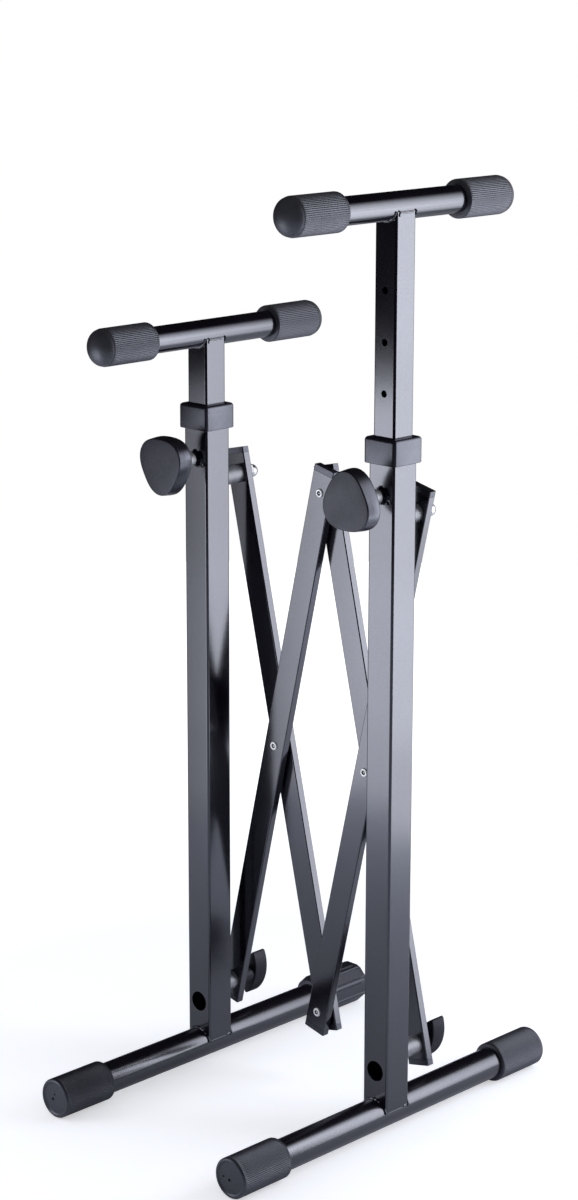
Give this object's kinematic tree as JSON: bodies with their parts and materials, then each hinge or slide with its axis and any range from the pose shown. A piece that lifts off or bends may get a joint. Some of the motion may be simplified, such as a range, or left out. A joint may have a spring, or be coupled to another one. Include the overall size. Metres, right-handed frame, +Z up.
{
  "type": "keyboard stand",
  "caption": "Folding keyboard stand: two height-adjustable T-shaped supports joined by a sliding scissor lattice, with clamp knobs, ribbed rubber caps and a levelling foot.",
  "frame": {"origin": "on the floor, at the centre of the bounding box", "axes": "+Z up, +Y along the feet from the knobs' side to the lattice's side, +X from the lower rest to the higher rest"},
  "size_m": [0.2926, 0.412, 0.8755],
  "materials": {
    "powder_coat": "satin powder coat, fine texture",
    "rubber": "ribbed matt rubber",
    "plastic": "fine moulded grain",
    "zinc": "bright zinc plate"
  },
  "bodies": {
    "root": {"foot_tube_left": "powder_coat", "post_left": "powder_coat", "collar_left": "plastic", "weld_nut_left": "powder_coat", "arm_stub_left": "powder_coat", "pivot_bolt_left": "zinc", "foot_cap_left_front": "rubber"},
    "levelling_foot": {"level_cap": "rubber"},
    "left_rest": {"inner_tube_left": "powder_coat", "guide_plug_left": "plastic", "top_bar_left": "powder_coat", "bar_cap_left_front": "rubber", "bar_cap_left_rear": "rubber"},
    "left_screw": {"clamp_screw_left": "zinc"},
    "left_knob": {"clamp_knob_left": "plastic"},
    "left_back_arm": {"arm_left_back": "powder_coat", "end_plugs_left_back": "plastic"},
    "left_front_arm": {"arm_left_front": "powder_coat", "end_plugs_left_front": "plastic", "rivets_left": "zinc", "arm_washers_left": "zinc"},
    "left_slider": {"slide_bolt_left": "zinc", "spacer_left": "zinc"},
    "left_grip": {"thumb_grip_left": "plastic"},
    "right_front_arm": {"arm_right_front": "powder_coat", "end_plugs_right_front": "plastic", "rivets_right": "zinc", "arm_washers_right": "zinc"},
    "right_back_arm": {"arm_right_back": "powder_coat", "end_plugs_right_back": "plastic"},
    "right_support": {"foot_tube_right": "powder_coat", "post_right": "powder_coat", "collar_right": "plastic", "weld_nut_right": "powder_coat", "arm_stub_right": "powder_coat", "pivot_bolt_right": "zinc", "foot_cap_right_front": "rubber", "foot_cap_right_rear": "rubber"},
    "right_slider": {"slide_bolt_right": "zinc", "spacer_right": "zinc"},
    "right_grip": {"thumb_grip_right": "plastic"},
    "right_rest": {"inner_tube_right": "powder_coat", "guide_plug_right": "plastic", "top_bar_right": "powder_coat", "bar_cap_right_front": "rubber", "bar_cap_right_rear": "rubber"},
    "right_screw": {"clamp_screw_right": "zinc"},
    "right_knob": {"clamp_knob_right": "plastic"}
  },
  "joints": [
    {"name": "stand_width", "type": "hinge", "parent": "root", "child": "left_back_arm", "pos_m": [-0.118, -0.003, 0.58402], "axis": [0, -1, 0], "range_deg": [-6.48, 33.02]},
    {"name": "left_arms_cross", "type": "hinge", "parent": "left_back_arm", "child": "left_front_arm", "pos_m": [-0.059, -0.003, 0.32803], "axis": [0, -1, 0], "range_deg": [-66.06, 12.98]},
    {"name": "left_slide_pivot", "type": "hinge", "parent": "left_front_arm", "child": "left_slider", "pos_m": [-0.118, -0.003, 0.07204], "axis": [0, -1, 0], "range_deg": [-6.5, 33.04]},
    {"name": "left_grip_turn", "type": "hinge", "parent": "left_slider", "child": "left_grip", "pos_m": [-0.118, -0.003, 0.07204], "axis": [0, 1, 0], "range_deg": [0, 720]},
    {"name": "bottom_pivot", "type": "hinge", "parent": "left_back_arm", "child": "right_front_arm", "pos_m": [0, -0.003, 0.07204], "axis": [0, -1, 0], "range_deg": [-66.06, 12.98]},
    {"name": "right_arms_cross", "type": "hinge", "parent": "right_front_arm", "child": "right_back_arm", "pos_m": [0.059, -0.003, 0.32803], "axis": [0, -1, 0], "range_deg": [-12.98, 66.06]},
    {"name": "right_support_pivot", "type": "hinge", "parent": "right_front_arm", "child": "right_support", "pos_m": [0.118, -0.003, 0.58402], "axis": [0, -1, 0], "range_deg": [-6.5, 33.04]},
    {"name": "right_slide_pivot", "type": "hinge", "parent": "right_back_arm", "child": "right_slider", "pos_m": [0.118, -0.003, 0.07204], "axis": [0, -1, 0], "range_deg": [-33.04, 6.5]},
    {"name": "right_grip_turn", "type": "hinge", "parent": "right_slider", "child": "right_grip", "pos_m": [0.118, -0.003, 0.07204], "axis": [0, 1, 0], "range_deg": [0, 720]},
    {"name": "left_height", "type": "slide", "parent": "root", "child": "left_rest", "axis": [0, 0, 1], "range_m": [-0.045, 0.27]},
    {"name": "right_height", "type": "slide", "parent": "right_support", "child": "right_rest", "axis": [0, 0, 1], "range_m": [-0.18, 0.135]},
    {"name": "left_screw_slide", "type": "slide", "parent": "root", "child": "left_screw", "axis": [0, -1, 0], "range_m": [0, 0.005]},
    {"name": "left_knob_turn", "type": "hinge", "parent": "left_screw", "child": "left_knob", "pos_m": [-0.118, -0.003, 0.60602], "axis": [0, -1, 0], "range_deg": [0, 1440]},
    {"name": "right_screw_slide", "type": "slide", "parent": "right_support", "child": "right_screw", "axis": [0, -1, 0], "range_m": [0, 0.005]},
    {"name": "right_knob_turn", "type": "hinge", "parent": "right_screw", "child": "right_knob", "pos_m": [0.118, -0.003, 0.60602], "axis": [0, -1, 0], "range_deg": [0, 1440]},
    {"name": "level_cap_turn", "type": "hinge", "parent": "root", "child": "levelling_foot", "pos_m": [-0.118, -0.003, 0.019], "axis": [0, 1, 0], "continuous": true}
  ],
  "couplings": [
    {"joint": "left_arms_cross", "follows": "stand_width", "ratio": -2},
    {"joint": "left_slide_pivot", "follows": "stand_width", "ratio": 1},
    {"joint": "bottom_pivot", "follows": "stand_width", "ratio": -2},
    {"joint": "right_arms_cross", "follows": "stand_width", "ratio": 2},
    {"joint": "right_support_pivot", "follows": "stand_width", "ratio": 1},
    {"joint": "right_slide_pivot", "follows": "stand_width", "ratio": -1},
    {"joint": "left_screw_slide", "follows": "left_knob_turn", "m_per_rad": 0.0001989},
    {"joint": "right_screw_slide", "follows": "right_knob_turn", "m_per_rad": 0.0001989}
  ]
}
